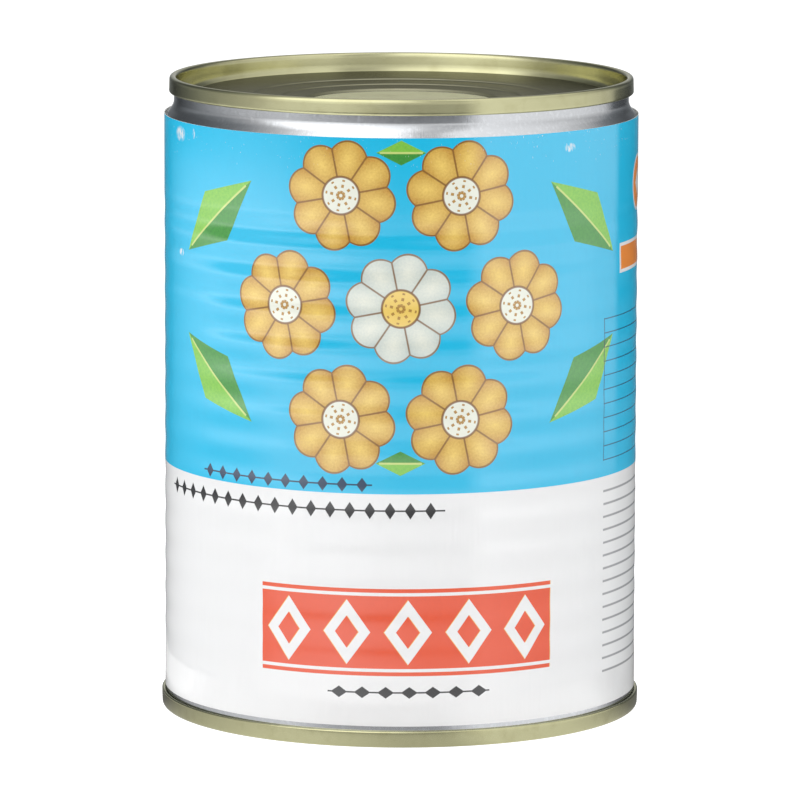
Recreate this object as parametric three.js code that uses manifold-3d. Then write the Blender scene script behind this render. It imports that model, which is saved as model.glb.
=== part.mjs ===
// A round three-piece steel food can of peeled, pitted longans in syrup, about 87 mm across and
// 116 mm tall. Millimetres, +Z up, origin at the centre of the circle that the can stands on.
// Heights in an end's profile are depths from the flat crest of its own seam.

import * as THREE from "three";
import { mergeVertices } from "three/addons/utils/BufferGeometryUtils.js";
import Module from "manifold-3d";

// Overall sizes. Round parts share one number of facets, so nested parts stay parallel.
const CAN_HEIGHT = 115.6;
const FACETS = 32;

// Sheet metal
const BODY_SHEET = 0.18;
const END_SHEET = 0.2;
const SHEET_PLAY = 0.02; // between sheets that are pressed together

// Double seams: the top one is smaller, so that it nests inside the bottom seam of another can.
const TOP_SEAM = { radius: 42.2, thickness: 1.3, height: 2.95, crestDepth: 0.45 };
const BOTTOM_SEAM = { radius: 43.7, thickness: 1.17, height: 2.95, crestDepth: 0.45 };
const CREST_CORNER = 0.3; // corner radius of the end sheet's centre line over the crest
const COVER_HOOK = 1.9;
const BODY_HOOK = 1.9;

// Neck below the top seam, and the beads rolled round the body
const NECK_TOP = 111.1;
const NECK_BOTTOM = 109.1;
const NECK_STEPS = 5;
const BEADS = 14;
const BEAD_PITCH = 6.1;
const LOWEST_BEAD = 12.6;
const BEAD_DEPTH = 0.4;

// End panel: each step's radius, and the depths below the seam's crest on either side of it.
// Widths at the rim are measured inwards from the foot of the chuck wall.
const CHUCK_TAPER = 0.3;
const GROOVE = { depth: 4.3, width: 1.6, slope: 0.9, corner: 0.5 };
const RIM_BEAD = { width: 6.8, inside: 3.3, outside: 3.1 };
const PANEL_STEPS = [
  { radius: 17.4, inside: 4.8, outside: 4.15 },
  { radius: 21.7, inside: 4.1, outside: 3.75 },
  { radius: 26.8, inside: 3.7, outside: 3.35 },
];
const STEP_WIDTH = 0.9;

// Sealing compound in each seam
const COMPOUND_WIDTH = 0.34;
const COMPOUND_HEIGHT = 0.18;
const COMPOUND_PLAY = 0.05;

// Paper label and its glued lap
const LABEL_BOTTOM = 3.8;
const LABEL_TOP = 108.9;
const PAPER = 0.1;
const LABEL_PLAY = 0.02;
const LAP_ANGLE = THREE.MathUtils.degToRad(12);
const GLUE_FILM = 0.06;
const GLUE_PLAY = 0.01;
const GLUE_MARGIN = 1.5; // bare paper above, below and beside the strip of glue

// Contents: fruits settled in rings against the wall, round a column on the axis
const FRUIT_RADIUS = 12.2;
const PIT_RADIUS = 5.6;
const MOUTH_RADIUS = 3.8;
const FRUIT_FACETS = 8;
const FRUIT_GAP = 0.3; // between a fruit and the syrup or the can
const FRUIT_HUG = 1.18; // a hollow in the syrup is this much larger, so that touching fruits share one
const RINGS = 3;
const RING_FRUITS = 7;
const RING_RISE = 21.1;
const COLUMN_FRUITS = 3;
const COLUMN_RISE = 24.9;
const LEAST_LEAN = THREE.MathUtils.degToRad(25);
const MOST_LEAN = THREE.MathUtils.degToRad(75);
const COLUMN_LEAN = THREE.MathUtils.degToRad(90);
const GOLDEN_RATIO = 0.618;
const SYRUP_GAP = 0.35;
const HEADSPACE = 6;

const wasm = await Module();
wasm.setup();

// ---- shared shapes ----

// A seam's radii, from the inside of the chuck wall outwards, along the centre of each layer.
function seamLayers(seam) {
  const inside = seam.radius - seam.thickness;
  const sheets = 3 * END_SHEET + 2 * BODY_SHEET + SHEET_PLAY;
  const play = (seam.thickness - sheets) / 3;
  const chuckWall = inside + END_SHEET / 2;
  const bodyWall = inside + END_SHEET + SHEET_PLAY + BODY_SHEET / 2;
  const coverHook = bodyWall + BODY_SHEET / 2 + play + END_SHEET / 2;
  const bodyHook = coverHook + END_SHEET / 2 + play + BODY_SHEET / 2;
  const outerWall = seam.radius - END_SHEET / 2;
  return { chuckWall, bodyWall, coverHook, bodyHook, outerWall };
}

// Points on an arc of an ellipse, angles in degrees from the +radius direction.
function arc(centre, radii, from, to, steps) {
  return Array.from({ length: steps + 1 }, (_, i) => {
    const angle = THREE.MathUtils.degToRad(from + ((to - from) * i) / steps);
    return [centre[0] + radii[0] * Math.cos(angle), centre[1] + radii[1] * Math.sin(angle)];
  });
}

// The point of a sheet's face beside point i of its centre line, with mitred corners.
function besideLine(line, i, offset) {
  const here = new THREE.Vector2(...line[i]);
  const normals = [];
  if (i > 0) normals.push(here.clone().sub(new THREE.Vector2(...line[i - 1])));
  if (i < line.length - 1) normals.push(new THREE.Vector2(...line[i + 1]).sub(here));
  normals.forEach((n) => n.set(-n.y, n.x).normalize());
  const mitre = normals.reduce((sum, n) => sum.add(n), new THREE.Vector2()).normalize();
  return here.addScaledVector(mitre, offset / mitre.dot(normals[0]));
}

// The outline of a sheet of even thickness along a centre line. A line that starts on the axis
// gives an outline that starts and ends there; any other outline closes on itself.
function sheetOutline(line, thickness) {
  const face = (offset) => line.map((_, i) => besideLine(line, i, offset));
  const outline = [...face(thickness / 2), ...face(-thickness / 2).reverse()];
  return line[0][0] === 0 ? outline : [...outline, outline[0].clone()];
}

// A solid of revolution about Z from an outline of (radius, height) points, faces outwards.
function revolve(outline, facets = FACETS) {
  const upward = THREE.ShapeUtils.area(outline) > 0;
  const geometry = new THREE.LatheGeometry(upward ? outline : [...outline].reverse(), facets);
  return geometry.rotateX(Math.PI / 2);
}

function part(name, geometry, colour, roughness, metalness) {
  const material = new THREE.MeshStandardMaterial({ color: colour, roughness, metalness });
  const mesh = new THREE.Mesh(geometry, material);
  mesh.name = name;
  return mesh;
}

const GOLD_LACQUER = [0xc2bd92, 0.3, 1];
const TINPLATE = [0xc9ccd0, 0.28, 1];
const COMPOUND = [0x8d8f8a, 0.8, 0];
const PRINTED_PAPER = [0x58bfe8, 0.3, 0];
const GLUE = [0xd9c58a, 0.5, 0];
const FRUIT_FLESH = [0xe6e3d6, 0.35, 0];
const SYRUP = [0xe9dfb8, 0.1, 0];

// ---- can ends ----

// The stepped panel, as (radius, depth) from the axis out to the foot of the chuck wall.
function panelLine(seam) {
  const wallFoot = seamLayers(seam).chuckWall - CHUCK_TAPER;
  const line = [[0, PANEL_STEPS[0].inside]];
  for (const step of PANEL_STEPS) {
    line.push([step.radius - STEP_WIDTH / 2, step.inside]);
    line.push([step.radius + STEP_WIDTH / 2, step.outside]);
  }
  line.push([wallFoot - RIM_BEAD.width, RIM_BEAD.inside]);
  line.push([wallFoot - GROOVE.width - GROOVE.slope, RIM_BEAD.outside]);
  line.push([wallFoot - GROOVE.width, GROOVE.depth]);
  line.push([wallFoot - GROOVE.corner, GROOVE.depth]);
  line.push([wallFoot, GROOVE.depth - GROOVE.corner]);
  return line;
}

// The rolled edge: up the chuck wall, over the crest, down the outer wall and up into the hook.
function rolledEdge(seam) {
  const { chuckWall, coverHook, outerWall } = seamLayers(seam);
  const crest = END_SHEET / 2;
  const corner = [CREST_CORNER, seam.crestDepth - crest];
  const curl = (outerWall - coverHook) / 2;
  const curlDepth = seam.height - END_SHEET / 2 - curl;
  return [
    ...arc([chuckWall + CREST_CORNER, seam.crestDepth], corner, 180, 270, 1),
    ...arc([outerWall - CREST_CORNER, seam.crestDepth], corner, 270, 360, 1),
    ...arc([coverHook + curl, curlDepth], [curl, curl], 0, 180, 3),
    [coverHook, seam.height - COVER_HOOK - END_SHEET],
  ];
}

// An end's whole centre line; height turns a depth below the crest into a place on Z.
function endLine(seam, height) {
  return [...panelLine(seam), ...rolledEdge(seam)].map(([r, depth]) => [r, height(depth)]);
}

const topHeight = (depth) => CAN_HEIGHT - depth;
const bottomHeight = (depth) => depth;

function canEnd(name, seam, height) {
  return part(name, revolve(sheetOutline(endLine(seam, height), END_SHEET)), ...GOLD_LACQUER);
}

// A ring of lining compound between the end's crest and the body's rolled flange.
function seamCompound(name, seam, height) {
  const { chuckWall, outerWall } = seamLayers(seam);
  const middle = (chuckWall + outerWall) / 2;
  const top = END_SHEET + COMPOUND_PLAY;
  const half = COMPOUND_WIDTH / 2;
  const corners = [
    [middle - half, top],
    [middle + half, top],
    [middle + half, top + COMPOUND_HEIGHT],
    [middle - half, top + COMPOUND_HEIGHT],
    [middle - half, top],
  ];
  const outline = corners.map(([r, depth]) => new THREE.Vector2(r, height(depth)));
  return part(name, revolve(outline), ...COMPOUND);
}

// ---- can body ----

// The body's flange rolled outwards and down into the seam, from the hook's tip to the wall.
function bodyHookLine(seam, height) {
  const { bodyWall, bodyHook } = seamLayers(seam);
  const roll = (bodyHook - bodyWall) / 2;
  const lining = COMPOUND_HEIGHT + 2 * COMPOUND_PLAY;
  const rollDepth = END_SHEET + lining + BODY_SHEET / 2 + roll;
  const turn = arc([bodyWall + roll, rollDepth], [roll, roll], 0, -180, 4);
  const line = [[bodyHook, rollDepth + BODY_HOOK - roll], ...turn];
  return line.map(([r, depth]) => [r, height(depth)]);
}

// Crests and valleys of the beads, from the lowest upwards.
function beadLine(wall) {
  return Array.from({ length: BEADS }, (_, i) => {
    const middle = LOWEST_BEAD + i * BEAD_PITCH;
    return [
      [wall - BEAD_DEPTH, middle],
      [wall, middle + BEAD_PITCH / 2],
    ];
  }).flat();
}

// The smooth S from the narrow neck out to the full body, from the bottom upwards.
function neckLine(wall, neck) {
  return Array.from({ length: NECK_STEPS + 1 }, (_, i) => {
    const t = i / NECK_STEPS;
    const radius = THREE.MathUtils.lerp(wall, neck, THREE.MathUtils.smoothstep(t, 0, 1));
    return [radius, THREE.MathUtils.lerp(NECK_BOTTOM, NECK_TOP, t)];
  });
}

function canBody() {
  const wall = seamLayers(BOTTOM_SEAM).bodyWall;
  const neck = seamLayers(TOP_SEAM).bodyWall;
  const line = [
    ...bodyHookLine(BOTTOM_SEAM, bottomHeight),
    [wall, LOWEST_BEAD - BEAD_PITCH / 2],
    ...beadLine(wall),
    ...neckLine(wall, neck),
    ...bodyHookLine(TOP_SEAM, topHeight).reverse(),
  ];
  return part("can_body", revolve(sheetOutline(line, BODY_SHEET)), ...TINPLATE);
}

// ---- paper label ----

const BODY_RADIUS = seamLayers(BOTTOM_SEAM).bodyWall + BODY_SHEET / 2;
const LABEL_RADIUS = BODY_RADIUS + LABEL_PLAY;
const LAP_MIDDLE = Math.PI / 2; // the lap is at the back, towards +Y
const LAP_RISE = PAPER + GLUE_FILM + 2 * GLUE_PLAY;
const FACET_ANGLE = (2 * Math.PI) / FACETS;

// A point beside the body's facet at an angle about Z, for a radius measured at a facet's corner.
function facetPoint(cornerRadius, angle) {
  const fromMiddle = THREE.MathUtils.euclideanModulo(angle, FACET_ANGLE) - FACET_ANGLE / 2;
  const radius = (cornerRadius * Math.cos(FACET_ANGLE / 2)) / Math.cos(fromMiddle);
  return new THREE.Vector2(radius * Math.cos(angle), radius * Math.sin(angle));
}

// Both ends of a wrapped strip and every facet corner between them.
function cornerAngles(from, to) {
  const angles = [from];
  for (let k = Math.floor(from / FACET_ANGLE) + 1; k * FACET_ANGLE < to; k += 1) {
    angles.push(k * FACET_ANGLE);
  }
  return [...angles, to];
}

// A strip of even thickness wrapped round the body from one angle to another.
function wrappedStrip(from, to, cornerRadius, thickness, bottom, top) {
  const angles = cornerAngles(from, to);
  const inner = angles.map((angle) => facetPoint(cornerRadius(angle), angle));
  const outer = angles.map((angle) => facetPoint(cornerRadius(angle) + thickness, angle));
  const shape = new THREE.Shape([...outer, ...inner.reverse()]);
  const geometry = new THREE.ExtrudeGeometry(shape, { depth: top - bottom, bevelEnabled: false });
  return geometry.translate(0, 0, bottom);
}

// One sheet of paper once round the body; its outer end climbs over the inner end at the lap.
function paperLabel() {
  const from = LAP_MIDDLE - LAP_ANGLE / 2;
  const lapStart = from + 2 * Math.PI;
  const climb = [lapStart - 2 * FACET_ANGLE, lapStart - FACET_ANGLE];
  const radius = (angle) => LABEL_RADIUS + LAP_RISE * THREE.MathUtils.smoothstep(angle, ...climb);
  const geometry = wrappedStrip(from, lapStart + LAP_ANGLE, radius, PAPER, LABEL_BOTTOM, LABEL_TOP);
  return part("paper_label", geometry, ...PRINTED_PAPER);
}

// The strip of paste that holds the lap shut.
function labelGlue() {
  const margin = GLUE_MARGIN / LABEL_RADIUS;
  const from = LAP_MIDDLE - LAP_ANGLE / 2 + margin;
  const to = LAP_MIDDLE + LAP_ANGLE / 2 - margin;
  const radius = () => LABEL_RADIUS + PAPER + GLUE_PLAY;
  const ends = [LABEL_BOTTOM + GLUE_MARGIN, LABEL_TOP - GLUE_MARGIN];
  return part("label_glue", wrappedStrip(from, to, radius, GLUE_FILM, ...ends), ...GLUE);
}

// ---- contents ----

// A ball with a round pit hollow that opens upwards at a mouth.
function openBall(radius, pit, mouth) {
  const degrees = THREE.MathUtils.radToDeg;
  const outer = arc([0, 0], [radius, radius], -90, degrees(Math.acos(mouth / radius)), 3);
  const inner = arc([0, 0], [pit, pit], degrees(Math.acos(mouth / pit)), -90, 2);
  const outline = [...outer, ...inner].map(([r, z]) => new THREE.Vector2(r, z));
  outline[0].x = 0;
  outline[outline.length - 1].x = 0;
  return revolve(outline, FRUIT_FACETS);
}

// Where each fruit lies and how far its mouth leans from straight up towards the can's axis.
function fruitPlaces() {
  const wall = seamLayers(BOTTOM_SEAM).bodyWall - BODY_SHEET / 2 - BEAD_DEPTH;
  const ringRadius = wall * Math.cos(FACET_ANGLE / 2) - FRUIT_GAP - FRUIT_RADIUS;
  const step = (2 * Math.PI) / RING_FRUITS;
  const floor = PANEL_STEPS[0].inside + END_SHEET + FRUIT_GAP + FRUIT_RADIUS;
  const places = [];
  for (let ring = 0; ring < RINGS; ring += 1) {
    for (let k = 0; k < RING_FRUITS; k += 1) {
      const angle = (k + ring / 2) * step;
      const height = floor + ring * RING_RISE;
      const share = (places.length * GOLDEN_RATIO) % 1;
      const lean = THREE.MathUtils.lerp(LEAST_LEAN, MOST_LEAN, share);
      places.push({ radius: ringRadius, angle, height, lean });
    }
  }
  for (let k = 0; k < COLUMN_FRUITS; k += 1) {
    const angle = (k + 1 / 2) * step;
    places.push({ radius: 0, angle, height: floor + k * COLUMN_RISE, lean: COLUMN_LEAN });
  }
  return places;
}

function fruitMatrix({ radius, angle, height, lean }) {
  const turned = new THREE.Matrix4().makeRotationZ(angle);
  const moved = new THREE.Matrix4().makeTranslation(radius, 0, height);
  const leant = new THREE.Matrix4().makeRotationY(-lean);
  return turned.multiply(moved).multiply(leant);
}

function fruits() {
  return fruitPlaces().map((place, index) => {
    const geometry = openBall(FRUIT_RADIUS, PIT_RADIUS, MOUTH_RADIUS);
    const name = `longan_${String(index + 1).padStart(2, "0")}`;
    return part(name, geometry.applyMatrix4(fruitMatrix(place)), ...FRUIT_FLESH);
  });
}

function solidOf(geometry) {
  const bare = geometry.index ? geometry.toNonIndexed() : geometry.clone();
  bare.deleteAttribute("normal");
  bare.deleteAttribute("uv");
  const merged = mergeVertices(bare, 1e-3);
  const vertProperties = merged.attributes.position.array;
  return new wasm.Manifold(
    new wasm.Mesh({ numProp: 3, vertProperties, triVerts: new Uint32Array(merged.index.array) }),
  );
}

function geometryOf(solid) {
  const { vertProperties, triVerts } = solid.getMesh();
  const geometry = new THREE.BufferGeometry();
  geometry.setAttribute("position", new THREE.BufferAttribute(vertProperties, 3));
  geometry.setIndex(new THREE.BufferAttribute(triVerts, 1));
  return geometry.toNonIndexed();
}

// The liquid round and inside the fruits, up to a headspace under the top end.
function syrup() {
  const radius = seamLayers(BOTTOM_SEAM).bodyWall - BODY_SHEET / 2 - BEAD_DEPTH - SYRUP_GAP;
  const bottom = PANEL_STEPS[0].inside + END_SHEET + SYRUP_GAP;
  const top = CAN_HEIGHT - PANEL_STEPS[0].inside - END_SHEET - HEADSPACE;
  const corners = [[0, bottom], [radius, bottom], [radius, top], [0, top]];
  const block = solidOf(revolve(corners.map(([r, z]) => new THREE.Vector2(r, z))));
  const liquid = fruitPlaces().reduce((solid, place) => {
    const plug = PIT_RADIUS - FRUIT_GAP;
    const hollow = openBall(FRUIT_RADIUS * FRUIT_HUG, plug, MOUTH_RADIUS - FRUIT_GAP);
    return solid.subtract(solidOf(hollow.applyMatrix4(fruitMatrix(place))));
  }, block);
  return part("syrup", geometryOf(liquid), ...SYRUP);
}

const can = new THREE.Group();
can.add(
  canBody(),
  canEnd("top_end", TOP_SEAM, topHeight),
  canEnd("bottom_end", BOTTOM_SEAM, bottomHeight),
  seamCompound("top_seam_compound", TOP_SEAM, topHeight),
  seamCompound("bottom_seam_compound", BOTTOM_SEAM, bottomHeight),
  paperLabel(),
  labelGlue(),
  syrup(),
  ...fruits(),
);

export default can;
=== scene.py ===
"""Looks of a round steel food can: gold-lacquered ends, a bare tinplate neck, a printed paper label.

Shapes are worked out in millimetres and become meshes in metres. A shape is a profile of (radius, height)
points carried round the can's axis, or a sheet wrapped round it. Angles on the can are measured from the
middle of the label's front, which faces -Y, and grow towards +X.
"""
import math

import bpy
import numpy as np
from mathutils import Matrix, Vector


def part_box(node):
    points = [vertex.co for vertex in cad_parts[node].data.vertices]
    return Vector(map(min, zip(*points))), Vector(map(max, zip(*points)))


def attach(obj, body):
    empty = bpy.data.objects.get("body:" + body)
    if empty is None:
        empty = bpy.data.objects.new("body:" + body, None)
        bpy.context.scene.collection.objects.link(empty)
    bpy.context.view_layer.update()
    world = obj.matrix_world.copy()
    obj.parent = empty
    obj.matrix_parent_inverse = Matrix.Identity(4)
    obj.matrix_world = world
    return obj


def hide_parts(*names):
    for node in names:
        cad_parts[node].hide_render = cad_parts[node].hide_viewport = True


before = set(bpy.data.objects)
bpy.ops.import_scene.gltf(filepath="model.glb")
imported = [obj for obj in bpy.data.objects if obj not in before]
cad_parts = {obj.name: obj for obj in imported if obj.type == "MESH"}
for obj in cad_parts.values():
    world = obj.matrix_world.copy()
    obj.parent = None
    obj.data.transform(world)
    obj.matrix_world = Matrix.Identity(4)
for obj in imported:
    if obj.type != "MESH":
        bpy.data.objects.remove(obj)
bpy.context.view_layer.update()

MM = 0.001


def highest(node):
    """The highest corner of a node's box, in millimetres."""
    return np.array(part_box(node)[1]) / MM


def lowest(node):
    """The lowest corner of a node's box, in millimetres."""
    return np.array(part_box(node)[0]) / MM


# ---- sizes, in millimetres ----

CAN_HEIGHT = highest("top_end")[2]
LABEL_BOTTOM = lowest("paper_label")[2]
LABEL_TOP = highest("paper_label")[2]

BODY_SHEET = 0.18
END_SHEET = 0.2
SHEET_PLAY = 0.02
TOP_SEAM = {"radius": highest("top_end")[0], "thickness": 1.3, "height": 2.95}
BOTTOM_SEAM = {"radius": highest("bottom_end")[0], "thickness": 1.17, "height": 2.95}
COVER_HOOK = 1.9
BODY_HOOK = 1.9
CREST_FILLET = 0.55
SEAM_LEAN = 0.08  # how much the outer wall leans in towards the crest

NECK_CORNER = CAN_HEIGHT - 5.25
NECK_CURVE = 1.0
SHOULDER_CORNER = CAN_HEIGHT - 7.3
SHOULDER_CURVE = 0.3
BEADS = 14
BEAD_PITCH = 6.1
LOWEST_BEAD = 12.6
BEAD_DEPTH = 0.4
WELD_ANGLE = math.radians(150)
WELD_WIDTH = 0.8
WELD_RISE = 0.06
WELD_BAND = 1.3  # half the width of the dull band along the weld

CHUCK_TAPER = 0.3
GROOVE = {"depth": 4.3, "width": 1.6, "slope": 0.9}
RIM_BEAD = {"width": 6.8, "inside": 3.25, "outside": 3.2}
PANEL_STEPS = ((17.4, 4.8, 4.4), (21.7, 4.1, 3.92), (26.8, 3.7, 3.5))  # radius, depth inside, outside
STEP_SLOPE = 1.0  # half a step's width for each unit of its height
PANEL_MARGIN = 5.2  # from the seam's outside to the panel's own finish
CENTRE_MARGIN = 0.6  # from the innermost step to the centre's own finish

COMPOUND_WIDTH = 0.34
COMPOUND_HEIGHT = 0.18
COMPOUND_PLAY = 0.05

PAPER = 0.1
LABEL_PLAY = 0.02
LAP_ANGLE = math.radians(12)
GLUE_FILM = 0.06
GLUE_PLAY = 0.01
GLUE_MARGIN = 1.5
PAPER_SAG = 0.08  # of the label into the body's beads
LAP_CLIMB = math.radians(3)

FRUIT_RADIUS = 11.7
PIT_RADIUS = 5.5
MOUTH_RADIUS = 3.7
RINGS = 3
RING_FRUITS = 7
RING_RADIUS = 29.6
RING_RISE = 21.1
LOWEST_FRUIT = 17.5
COLUMN_FRUITS = 3
COLUMN_RISE = 24.9
LEAST_LEAN = math.radians(25)
MOST_LEAN = math.radians(75)
GOLDEN_RATIO = 0.618

AROUND = 288  # columns of a piece that goes once round the can
WAVE_STEPS = 7  # rows of the body for each bead


# ---- surfaces ----


def new_piece(name, points, faces, node):
    """A smooth mesh piece, in metres from points in millimetres, that stands for a CAD node."""
    mesh = bpy.data.meshes.new(name)
    mesh.from_pydata((np.asarray(points) * MM).tolist(), [], [list(map(int, face)) for face in faces])
    mesh.shade_smooth()
    mesh.set_sharp_from_angle(angle=math.radians(50))
    piece = bpy.data.objects.new(name, mesh)
    bpy.context.scene.collection.objects.link(piece)
    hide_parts(node)
    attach(piece, "root")
    return piece


def grid_faces(rows, columns, wrap_rows=False, wrap_columns=False):
    """Quads between neighbouring points of a grid that is stored row after row."""
    row = np.arange(rows if wrap_rows else rows - 1)[:, None]
    column = np.arange(columns if wrap_columns else columns - 1)[None, :]
    next_row, next_column = (row + 1) % rows * columns, (column + 1) % columns
    row = row * columns
    quads = (row + column, row + next_column, next_row + next_column, next_row + column)
    return np.stack(np.broadcast_arrays(*quads), axis=-1).reshape(-1, 4)


def rounded(corners, steps=6):
    """A line through (radius, height, fillet) corners, whose inner corners are quadratic curves.

    A curve leaves the corner's first side and joins its second side one fillet away from the corner, or
    near the middle of a side that is too short for that.
    """
    corners = np.asarray(corners, float)
    t = np.linspace(0, 1, steps + 1)[:, None]
    line = [corners[:1, :2]]
    for before, here, after in zip(corners[:-2], corners[1:-1], corners[2:]):
        sides = np.array([before[:2] - here[:2], after[:2] - here[:2]])
        lengths = np.linalg.norm(sides, axis=1)[:, None]
        start, end = here[:2] + sides * np.minimum(here[2] / lengths, 0.49)
        line.append((1 - t) ** 2 * start + 2 * t * (1 - t) * here[:2] + t**2 * end)
    line.append(corners[-1:, :2])
    return np.vstack(line)


def closer(line, spacing):
    """The same line with more points, so that neighbours are no further apart than spacing."""
    gaps = np.linalg.norm(np.diff(line, axis=0), axis=1)
    counts = np.maximum(1, np.ceil(gaps / spacing)).astype(int)
    parts = [a + (b - a) * np.arange(n)[:, None] / n for a, b, n in zip(line[:-1], line[1:], counts)]
    return np.vstack([*parts, line[-1:]])


def sheet_outline(line, thickness):
    """Both faces of a sheet: its centre line moved along its normal by half the thickness either way.

    The outline runs out along one face and back along the other.
    """
    along = np.gradient(line, axis=0)
    along /= np.linalg.norm(along, axis=1)[:, None]
    side = np.stack([-along[:, 1], along[:, 0]], axis=1) * thickness / 2
    return np.vstack([line + side, (line - side)[::-1]])


def round_the_axis(outline, angles, shift=0):
    """The grid of points (r sin a, -r cos a, z) for a profile's (r, z), one row, and each angle a."""
    radius = outline[:, 0][:, None] + shift + np.zeros_like(angles)[None, :]
    height = outline[:, 1][:, None] + np.zeros_like(radius)
    return np.stack([radius * np.sin(angles), -radius * np.cos(angles), height], axis=-1)


def revolved(name, outline, node, angles=None, shift=None):
    """A profile carried once round the can's axis.

    An outline that starts and ends on the axis closes there in two poles, and any other outline closes on
    itself. shift(height, angle) gives each point a little extra radius.
    """
    angles = np.linspace(0, 2 * math.pi, AROUND, endpoint=False) if angles is None else angles
    following = np.roll(outline, -1, axis=0)
    if np.sum(outline[:, 0] * following[:, 1] - following[:, 0] * outline[:, 1]) < 0:
        outline = outline[::-1]
    poled = outline[0, 0] < 1e-6
    ring = outline[1:-1] if poled else outline
    extra = shift(ring[:, 1][:, None], angles[None, :]) if shift else 0
    points = round_the_axis(ring, angles, extra).reshape(-1, 3)
    rows, columns = len(ring), len(angles)
    faces = grid_faces(rows, columns, wrap_rows=not poled, wrap_columns=True).tolist()
    if poled:
        here = np.arange(columns)
        after = (here + 1) % columns
        first, last, base = len(points), len(points) + 1, (rows - 1) * columns
        points = np.vstack([points, [0, 0, outline[0, 1]], [0, 0, outline[-1, 1]]])
        faces += np.stack([np.full(columns, first), after, here], axis=1).tolist()
        faces += np.stack([np.full(columns, last), base + here, base + after], axis=1).tolist()
    return new_piece(name, points, faces, node)


# ---- can ends ----


def seam_layers(seam):
    """A double seam's radii, from the chuck wall outwards, along the centre of each layer of sheet."""
    inside = seam["radius"] - seam["thickness"]
    play = (seam["thickness"] - 3 * END_SHEET - 2 * BODY_SHEET - SHEET_PLAY) / 3
    body_wall = inside + END_SHEET + SHEET_PLAY + BODY_SHEET / 2
    cover_hook = body_wall + BODY_SHEET / 2 + play + END_SHEET / 2
    return {
        "chuck_wall": inside + END_SHEET / 2,
        "body_wall": body_wall,
        "cover_hook": cover_hook,
        "body_hook": cover_hook + END_SHEET / 2 + play + BODY_SHEET / 2,
        "outer_wall": seam["radius"] - END_SHEET / 2,
    }


def top_height(depth):
    """The height of a point at a depth below the top end's crest."""
    return CAN_HEIGHT - depth


def bottom_height(depth):
    """The height of a point at a depth inside the bottom end's crest, on which the can stands."""
    return depth


def end_line(seam):
    """The end sheet's centre line as (radius, depth below the crest), from the axis to the hook's tip.

    A stepped panel, a rim bead, a groove, the chuck wall, the crest, the outer wall and the hook, with a
    fillet at each corner.
    """
    layers = seam_layers(seam)
    foot = layers["chuck_wall"] - CHUCK_TAPER
    corners = [(0, PANEL_STEPS[0][1], 0)]
    for radius, inside, outside in PANEL_STEPS:
        half = (inside - outside) * STEP_SLOPE
        corners.append((radius - half, inside, 0.25))
        corners.append((radius + half, outside, 0.25))
    corners.append((foot - RIM_BEAD["width"], RIM_BEAD["inside"], 2.5))
    corners.append((foot - GROOVE["width"] - GROOVE["slope"], RIM_BEAD["outside"], 0.9))
    corners.append((foot - GROOVE["width"], GROOVE["depth"], 0.6))
    corners.append((foot, GROOVE["depth"], 1.9))
    crest = END_SHEET / 2
    corners.append((layers["chuck_wall"], crest, CREST_FILLET))
    corners.append((layers["outer_wall"] - SEAM_LEAN, crest, CREST_FILLET))
    curl = (layers["outer_wall"] - layers["cover_hook"]) / 2
    curl_depth = seam["height"] - END_SHEET / 2
    corners.append((layers["outer_wall"], curl_depth, curl * 0.8))
    corners.append((layers["cover_hook"], curl_depth, curl * 0.9))
    corners.append((layers["cover_hook"], seam["height"] - COVER_HOOK - END_SHEET, 0))
    line = rounded(corners)
    rim = line[:, 0] > foot
    return np.vstack([closer(line[~rim], 1.1), closer(line[rim], 0.35)])


def can_end(name, seam, height, finishes):
    """An end, whose finishes are those of the walls, of the stepped panel and of the panel's centre."""
    line = end_line(seam)
    line[:, 1] = height(line[:, 1])
    outline = sheet_outline(line, END_SHEET)
    outline[[0, -1], 0] = 0
    piece = revolved(name, outline, name)
    middles = np.empty(len(piece.data.polygons) * 3)
    piece.data.polygons.foreach_get("center", middles)
    radius = np.hypot(middles[0::3], middles[1::3]) / MM
    for finish in finishes:
        piece.data.materials.append(finish)
    # The panel's and the centre's finishes are copies of the wall lacquer with painted light and shade; the
    # real lacquer is one and the same all over the end.
    zone = (radius < seam["radius"] - PANEL_MARGIN).astype(int) + (radius < PANEL_STEPS[0][0] - CENTRE_MARGIN)
    piece.data.polygons.foreach_set("material_index", zone)
    return piece


def seam_compound(name, seam, height):
    """A ring of lining compound whose section is a flat rounded bar."""
    layers = seam_layers(seam)
    middle = (layers["chuck_wall"] + layers["outer_wall"]) / 2
    depth = END_SHEET + COMPOUND_PLAY + COMPOUND_HEIGHT / 2
    t = np.linspace(0, 2 * math.pi, 16, endpoint=False)
    width = COMPOUND_WIDTH / 2 * np.sign(np.cos(t)) * np.abs(np.cos(t)) ** 0.5
    rise = COMPOUND_HEIGHT / 2 * np.sign(np.sin(t)) * np.abs(np.sin(t)) ** 0.5
    outline = np.stack([middle + width, height(depth + rise)], axis=1)
    return revolved(name, outline, name)


# ---- can body ----


def arc_from(angle, centre):
    """The signed angle from centre to angle, between minus and plus half a turn."""
    return (angle - centre + math.pi) % (2 * math.pi) - math.pi


def weld_ridge(angle, radius):
    """The extra radius over the side weld: a bell curve across it."""
    return WELD_RISE * np.exp(-((arc_from(angle, WELD_ANGLE) * radius / WELD_WIDTH) ** 2))


def bead_wave(height):
    """0 on plain wall and on a bead's crest, 1 at the bottom of its valley, a cosine in between."""
    turn = (height - LOWEST_BEAD) / BEAD_PITCH
    beaded = (turn > -0.5) & (turn < BEADS - 0.5)
    return np.where(beaded, 0.5 + 0.5 * np.cos(2 * math.pi * turn), 0)


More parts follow.
